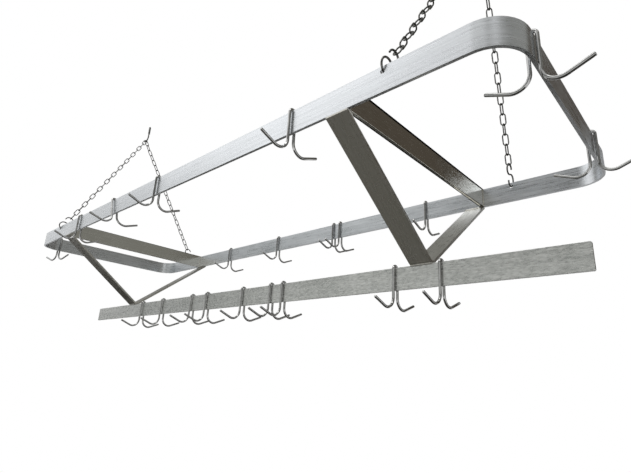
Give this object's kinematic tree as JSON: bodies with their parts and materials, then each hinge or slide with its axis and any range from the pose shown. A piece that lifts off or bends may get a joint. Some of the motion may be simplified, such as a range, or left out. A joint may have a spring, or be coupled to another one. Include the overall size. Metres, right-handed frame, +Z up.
{
  "type": "hanging pot rack",
  "caption": "Hanging pot rack: a round-cornered flat-bar ring with V braces and a lower bar, loose wire pot hooks, chains and screw hooks.",
  "frame": {"origin": "on the ceiling plane, midway between the two screw hooks", "axes": "+X along the rack towards the right hook, +Y across it away from the viewer, +Z up into the ceiling"},
  "size_m": [2.0876, 0.7418, 0.9651],
  "materials": {
    "bar_steel": "brushed flat bar with faint mottling and darkened welds",
    "hook_chrome": "bright drawn wire",
    "chain_zinc": "dull plated wire",
    "hook_zinc": "dull plated wire with a rolled thread"
  },
  "bodies": {
    "ceiling_hooks": {"ceiling_hook_left": "hook_zinc", "ceiling_hook_right": "hook_zinc"},
    "top_links": {"top_link_near_left": "chain_zinc", "top_link_far_left": "chain_zinc", "top_link_near_right": "chain_zinc", "top_link_far_right": "chain_zinc"},
    "left_chains": {"chain_near_left": "chain_zinc", "chain_far_left": "chain_zinc", "s_hook_near_left": "chain_zinc", "s_hook_far_left": "chain_zinc"},
    "frame": {"outer_ring": "bar_steel", "middle_bar": "bar_steel", "cross_bar_left": "bar_steel", "cross_bar_right": "bar_steel", "v_brace_left": "bar_steel", "v_brace_right": "bar_steel"},
    "right_chains": {"chain_near_right": "chain_zinc", "chain_far_right": "chain_zinc", "s_hook_near_right": "chain_zinc", "s_hook_far_right": "chain_zinc"},
    "near_hook_1": {"pot_hook_near_1": "hook_chrome"},
    "near_hook_2": {"pot_hook_near_2": "hook_chrome"},
    "near_hook_3": {"pot_hook_near_3": "hook_chrome"},
    "near_hook_4": {"pot_hook_near_4": "hook_chrome"},
    "far_hook_1": {"pot_hook_far_1": "hook_chrome"},
    "far_hook_2": {"pot_hook_far_2": "hook_chrome"},
    "far_hook_3": {"pot_hook_far_3": "hook_chrome"},
    "far_hook_4": {"pot_hook_far_4": "hook_chrome"},
    "far_hook_5": {"pot_hook_far_5": "hook_chrome"},
    "middle_hook_1": {"pot_hook_middle_1": "hook_chrome"},
    "middle_hook_2": {"pot_hook_middle_2": "hook_chrome"},
    "middle_hook_3": {"pot_hook_middle_3": "hook_chrome"},
    "middle_hook_4": {"pot_hook_middle_4": "hook_chrome"},
    "middle_hook_5": {"pot_hook_middle_5": "hook_chrome"},
    "middle_hook_6": {"pot_hook_middle_6": "hook_chrome"},
    "middle_hook_7": {"pot_hook_middle_7": "hook_chrome"},
    "middle_hook_8": {"pot_hook_middle_8": "hook_chrome"},
    "middle_hook_9": {"pot_hook_middle_9": "hook_chrome"},
    "left_hook_1": {"pot_hook_left_1": "hook_chrome"},
    "right_hook_1": {"pot_hook_right_1": "hook_chrome"},
    "right_hook_2": {"pot_hook_right_2": "hook_chrome"}
  },
  "joints": [
    {"name": "side_sway", "type": "hinge", "parent": "ceiling_hooks", "child": "top_links", "pos_m": [0, 0, -0.033], "axis": [1, 0, 0], "range_deg": [-12, 12]},
    {"name": "end_swing", "type": "hinge", "parent": "top_links", "child": "left_chains", "pos_m": [-0.82215, 0, -0.05469], "axis": [0, 1, 0], "range_deg": [-6, 6]},
    {"name": "frame_level", "type": "hinge", "parent": "left_chains", "child": "frame", "pos_m": [-0.754, 0, -0.57393], "axis": [0, 1, 0], "range_deg": [-6.6, 6.6]},
    {"name": "right_swing", "type": "hinge", "parent": "top_links", "child": "right_chains", "pos_m": [0.82215, 0, -0.05469], "axis": [0, 1, 0], "range_deg": [-6, 6]},
    {"name": "near_slide_1", "type": "slide", "parent": "frame", "child": "near_hook_1", "axis": [1, 0, 0], "range_m": [-0.0632, 0.1303]},
    {"name": "near_slide_2", "type": "slide", "parent": "frame", "child": "near_hook_2", "axis": [1, 0, 0], "range_m": [-0.1303, 0.105]},
    {"name": "near_slide_3", "type": "slide", "parent": "frame", "child": "near_hook_3", "axis": [1, 0, 0], "range_m": [-0.1357, 0.2607]},
    {"name": "near_slide_4", "type": "slide", "parent": "frame", "child": "near_hook_4", "axis": [1, 0, 0], "range_m": [-0.2607, 0.0863]},
    {"name": "far_slide_1", "type": "slide", "parent": "frame", "child": "far_hook_1", "axis": [1, 0, 0], "range_m": [-0.1773, 0.1473]},
    {"name": "far_slide_2", "type": "slide", "parent": "frame", "child": "far_hook_2", "axis": [1, 0, 0], "range_m": [-0.1473, 0.1357]},
    {"name": "far_slide_3", "type": "slide", "parent": "frame", "child": "far_hook_3", "axis": [1, 0, 0], "range_m": [-0.1357, 0.0084]},
    {"name": "far_slide_4", "type": "slide", "parent": "frame", "child": "far_hook_4", "axis": [1, 0, 0], "range_m": [-0.0084, 0.1581]},
    {"name": "far_slide_5", "type": "slide", "parent": "frame", "child": "far_hook_5", "axis": [1, 0, 0], "range_m": [-0.1581, 0.1142]},
    {"name": "middle_slide_1", "type": "slide", "parent": "frame", "child": "middle_hook_1", "axis": [1, 0, 0], "range_m": [-0.0503, 0.0702]},
    {"name": "middle_slide_2", "type": "slide", "parent": "frame", "child": "middle_hook_2", "axis": [1, 0, 0], "range_m": [-0.0702, 0.0919]},
    {"name": "middle_slide_3", "type": "slide", "parent": "frame", "child": "middle_hook_3", "axis": [1, 0, 0], "range_m": [-0.0919, 0.0376]},
    {"name": "middle_slide_4", "type": "slide", "parent": "frame", "child": "middle_hook_4", "axis": [1, 0, 0], "range_m": [-0.0376, 0.0872]},
    {"name": "middle_slide_5", "type": "slide", "parent": "frame", "child": "middle_hook_5", "axis": [1, 0, 0], "range_m": [-0.0872, 0.0566]},
    {"name": "middle_slide_6", "type": "slide", "parent": "frame", "child": "middle_hook_6", "axis": [1, 0, 0], "range_m": [-0.0566, 0.0183]},
    {"name": "middle_slide_7", "type": "slide", "parent": "frame", "child": "middle_hook_7", "axis": [1, 0, 0], "range_m": [-0.0183, 0.1734]},
    {"name": "middle_slide_8", "type": "slide", "parent": "frame", "child": "middle_hook_8", "axis": [1, 0, 0], "range_m": [-0.1734, 0.0327]},
    {"name": "middle_slide_9", "type": "slide", "parent": "frame", "child": "middle_hook_9", "axis": [1, 0, 0], "range_m": [-0.0108, 0.2608]},
    {"name": "left_slide_1", "type": "slide", "parent": "frame", "child": "left_hook_1", "axis": [0, 1, 0], "range_m": [-0.0031, 0.4474]},
    {"name": "right_slide_1", "type": "slide", "parent": "frame", "child": "right_hook_1", "axis": [0, 1, 0], "range_m": [-0.0073, 0.1744]},
    {"name": "right_slide_2", "type": "slide", "parent": "frame", "child": "right_hook_2", "axis": [0, 1, 0], "range_m": [-0.1744, 0.0823]}
  ],
  "couplings": [
    {"joint": "frame_level", "follows": "end_swing", "ratio": -1.0904},
    {"joint": "right_swing", "follows": "end_swing", "ratio": 1}
  ]
}
